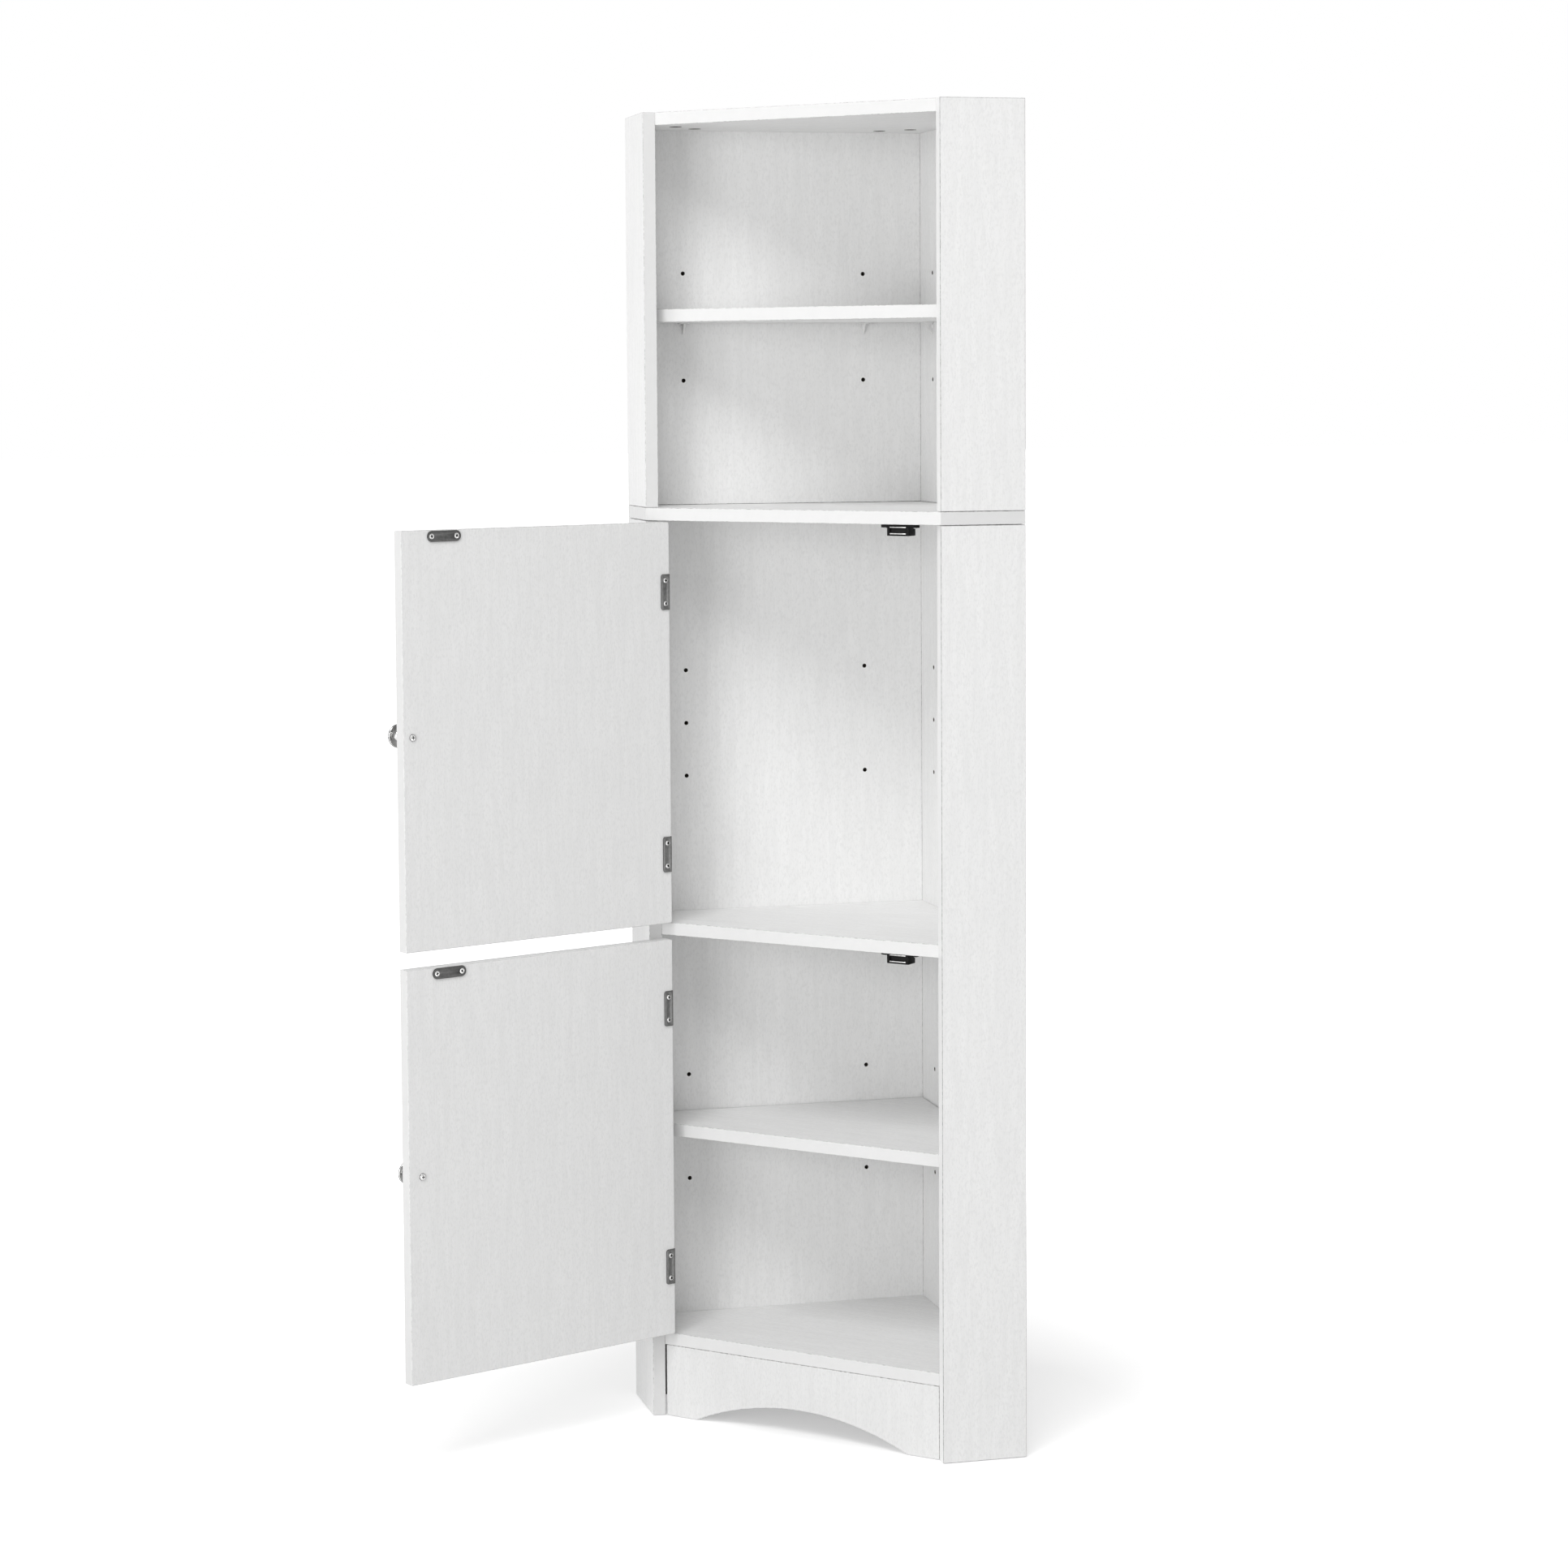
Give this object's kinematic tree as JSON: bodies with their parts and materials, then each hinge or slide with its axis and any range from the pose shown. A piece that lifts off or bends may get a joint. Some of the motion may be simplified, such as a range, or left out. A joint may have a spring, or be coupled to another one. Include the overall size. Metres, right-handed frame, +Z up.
{
  "type": "corner cupboard",
  "caption": "Five-sided corner cupboard in white board, with an open section over two hinged doors, adjustable shelves, knobs, magnetic catches and an arched kick board.",
  "frame": {"origin": "on the floor in the rear corner, where the outer faces of the two backs meet", "axes": "+X out of the back that lies on the right-hand wall, +Y out of the back that lies on the left-hand wall, +Z up; the cupboard lies at negative X and negative Y, and its front faces halfway between -X and -Y"},
  "size_m": [0.7063, 0.378, 1.55],
  "materials": {
    "white_board": "white laminate with a faint upright embossed wood grain, satin",
    "white_plastic": "moulded, satin",
    "black_plastic": "moulded, satin",
    "plated_steel": "satin plated",
    "bright_nickel": "polished nickel",
    "grey_zinc": "die-cast zinc, dull"
  },
  "bodies": {
    "carcass": {"lower_left_side": "white_board", "lower_left_back": "white_board", "upper_left_side": "white_board", "upper_left_back": "white_board", "lower_right_side": "white_board", "lower_right_back": "white_board", "upper_right_side": "white_board", "upper_right_back": "white_board", "bottom_shelf": "white_board", "middle_shelf": "white_board", "mid_board": "white_board", "top_board": "white_board", "kick_board": "white_board", "lower_adjustable_shelf": "white_board", "upper_adjustable_shelf": "white_board", "lower_shelf_pin_1": "white_plastic", "lower_shelf_pin_2": "white_plastic", "lower_shelf_pin_3": "white_plastic", "lower_shelf_pin_4": "white_plastic", "upper_shelf_pin_1": "white_plastic", "upper_shelf_pin_2": "white_plastic", "upper_shelf_pin_3": "white_plastic", "upper_shelf_pin_4": "white_plastic", "cam_lock_1": "grey_zinc", "cam_lock_2": "grey_zinc", "cam_lock_3": "grey_zinc", "cam_lock_4": "grey_zinc", "cam_lock_5": "grey_zinc", "cam_lock_6": "grey_zinc", "cam_bolt_1": "plated_steel", "cam_bolt_2": "plated_steel", "cam_bolt_3": "plated_steel", "cam_bolt_4": "plated_steel", "cam_bolt_5": "plated_steel", "cam_bolt_6": "plated_steel", "upper_door_top_hinge_frame_leaf": "plated_steel", "upper_door_bottom_hinge_frame_leaf": "plated_steel", "lower_door_top_hinge_frame_leaf": "plated_steel", "lower_door_bottom_hinge_frame_leaf": "plated_steel", "upper_door_top_hinge_pin": "plated_steel", "upper_door_bottom_hinge_pin": "plated_steel", "lower_door_top_hinge_pin": "plated_steel", "lower_door_bottom_hinge_pin": "plated_steel", "upper_catch_housing": "black_plastic", "lower_catch_housing": "black_plastic", "upper_catch_magnet": "plated_steel", "lower_catch_magnet": "plated_steel"},
    "upper_door": {"upper_door": "white_board", "upper_knob": "bright_nickel", "upper_knob_screw": "bright_nickel", "upper_strike_plate": "plated_steel", "upper_door_top_hinge_door_leaf": "plated_steel", "upper_door_bottom_hinge_door_leaf": "plated_steel"},
    "lower_door": {"lower_door": "white_board", "lower_knob": "bright_nickel", "lower_knob_screw": "bright_nickel", "lower_strike_plate": "plated_steel", "lower_door_top_hinge_door_leaf": "plated_steel", "lower_door_bottom_hinge_door_leaf": "plated_steel"}
  },
  "joints": [
    {"name": "upper_door_hinge", "type": "hinge", "parent": "carcass", "child": "upper_door", "pos_m": [-0.36222, -0.10488, 0.8345], "axis": [0, 0, 1], "range_deg": [-38, 112]},
    {"name": "lower_door_hinge", "type": "hinge", "parent": "carcass", "child": "lower_door", "pos_m": [-0.36222, -0.10488, 0.341], "axis": [0, 0, 1], "range_deg": [-38, 112]}
  ]
}
